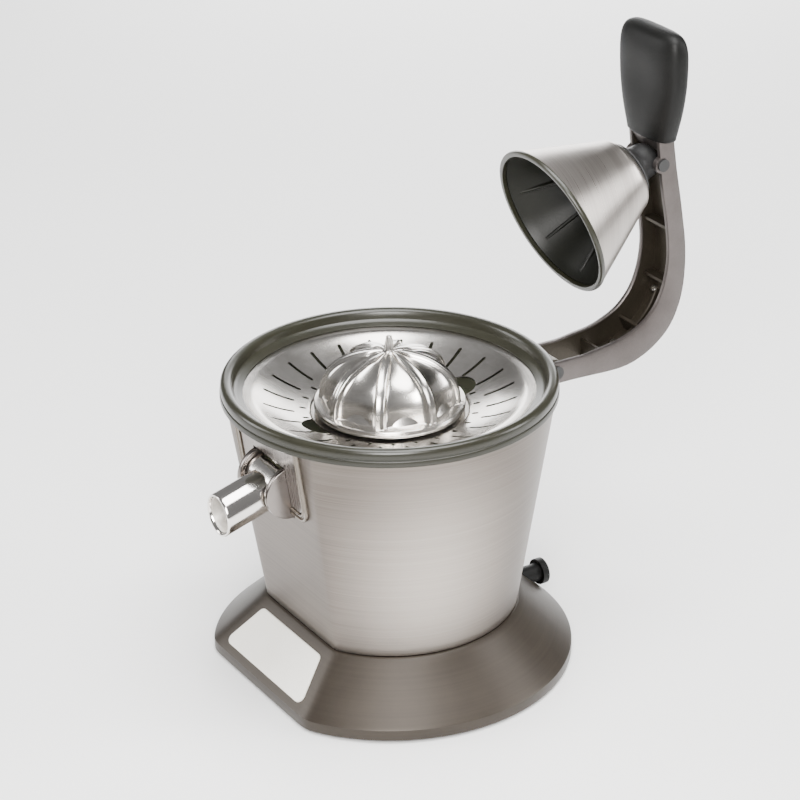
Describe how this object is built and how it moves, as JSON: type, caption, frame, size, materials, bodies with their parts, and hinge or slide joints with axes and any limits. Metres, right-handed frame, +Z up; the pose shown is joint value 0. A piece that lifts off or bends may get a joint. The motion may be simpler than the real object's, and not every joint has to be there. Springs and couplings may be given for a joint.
{
  "type": "lever citrus press",
  "caption": "Electric lever citrus juicer: tapered steel body on a flared base, ribbed reamer in a slotted strainer, tilting spout, and an arm with a press cone.",
  "frame": {"origin": "middle of the footprint on the table, under the reamer's axis", "axes": "+Z up, -Y towards the spout, +Y towards the lever's hinge, hinge axes along X"},
  "size_m": [0.225, 0.3314, 0.3742],
  "materials": {
    "steel_body": "brushed stainless steel",
    "steel_polished": "polished stainless steel",
    "chrome_spout": "bright chrome",
    "ring_black": "glossy olive black",
    "base_taupe": "satin grey-brown",
    "black_plastic": "fine grain",
    "rubber_black": "matt",
    "badge_white": "blank cream white",
    "arm_cast": "satin die casting",
    "bracket_grey": "satin dark grey",
    "panel_steel": "satin steel",
    "screw_steel": "zinc",
    "shaft_steel": "ground",
    "gear_nylon": "natural nylon",
    "bronze": "sintered bronze",
    "seal_red": "silicone",
    "copper_drum": "varnished"
  },
  "bodies": {
    "housing": {"base_skirt": "base_taupe", "base_plate": "black_plastic", "rubber_feet": "rubber_black", "base_screws": "screw_steel", "badge_plate": "badge_white", "cord_gland": "rubber_black", "body_shell": "steel_body", "inner_frame": "black_plastic", "motor_can": "shaft_steel", "gearbox_housing": "black_plastic", "gearbox_cover": "black_plastic", "gearbox_screws": "screw_steel", "idler_pin": "shaft_steel", "lower_bush": "bronze", "upper_bush": "bronze", "start_switch": "black_plastic", "juice_bowl": "ring_black", "shaft_seal": "seal_red", "top_ring": "ring_black", "strainer": "steel_polished", "hinge_bracket": "bracket_grey", "bracket_screws": "screw_steel", "spout_frame": "ring_black", "spout_panel": "panel_steel", "spout_housing": "panel_steel"},
    "plunger": {"start_plunger": "seal_red"},
    "spout_unit": {"spout": "chrome_spout"},
    "reamer_unit": {"reamer": "steel_polished", "reamer_hub": "black_plastic", "drive_shaft": "shaft_steel", "output_gear": "gear_nylon"},
    "idler": {"idler_gear": "gear_nylon"},
    "rotor": {"motor_rotor": "copper_drum", "motor_pinion": "bronze"},
    "lever": {"lever_arm": "arm_cast", "hinge_pin": "shaft_steel", "handle_grip": "rubber_black", "handle_screws": "screw_steel", "cone_pin": "shaft_steel"},
    "press_cone": {"cone_shell": "steel_body", "cone_liner": "ring_black", "cone_rim": "ring_black", "cone_boss": "black_plastic"}
  },
  "joints": [
    {"name": "lever_hinge", "type": "hinge", "parent": "housing", "child": "lever", "pos_m": [0, 0.112, 0.168], "axis": [1, 0, 0], "range_deg": [0, 84]},
    {"name": "cone_swivel", "type": "hinge", "parent": "lever", "child": "press_cone", "pos_m": [0, 0.1898, 0.28879], "axis": [1, 0, 0], "range_deg": [-14.5, 0]},
    {"name": "reamer_spin", "type": "hinge", "parent": "housing", "child": "reamer_unit", "pos_m": [0, 0, 0.16], "axis": [0, 0, 1], "continuous": true},
    {"name": "idler_spin", "type": "hinge", "parent": "housing", "child": "idler", "pos_m": [0, 0.035, 0.12], "axis": [0, 0, 1], "continuous": true},
    {"name": "rotor_spin", "type": "hinge", "parent": "housing", "child": "rotor", "pos_m": [-0.02772, 0.02352, 0.08], "axis": [0, 0, 1], "continuous": true},
    {"name": "spout_tilt", "type": "hinge", "parent": "housing", "child": "spout_unit", "pos_m": [0, -0.07995, 0.141], "axis": [1, 0, 0], "range_deg": [-20, 0]},
    {"name": "start_press", "type": "slide", "parent": "housing", "child": "plunger", "axis": [0, 0, 1], "range_m": [-0.0015, 0], "stiffness_N_per_m": 600}
  ],
  "couplings": [
    {"joint": "idler_spin", "follows": "reamer_spin", "ratio": -4},
    {"joint": "rotor_spin", "follows": "reamer_spin", "ratio": 16},
    {"joint": "cone_swivel", "follows": "lever_hinge", "ratio": -0.16666}
  ]
}
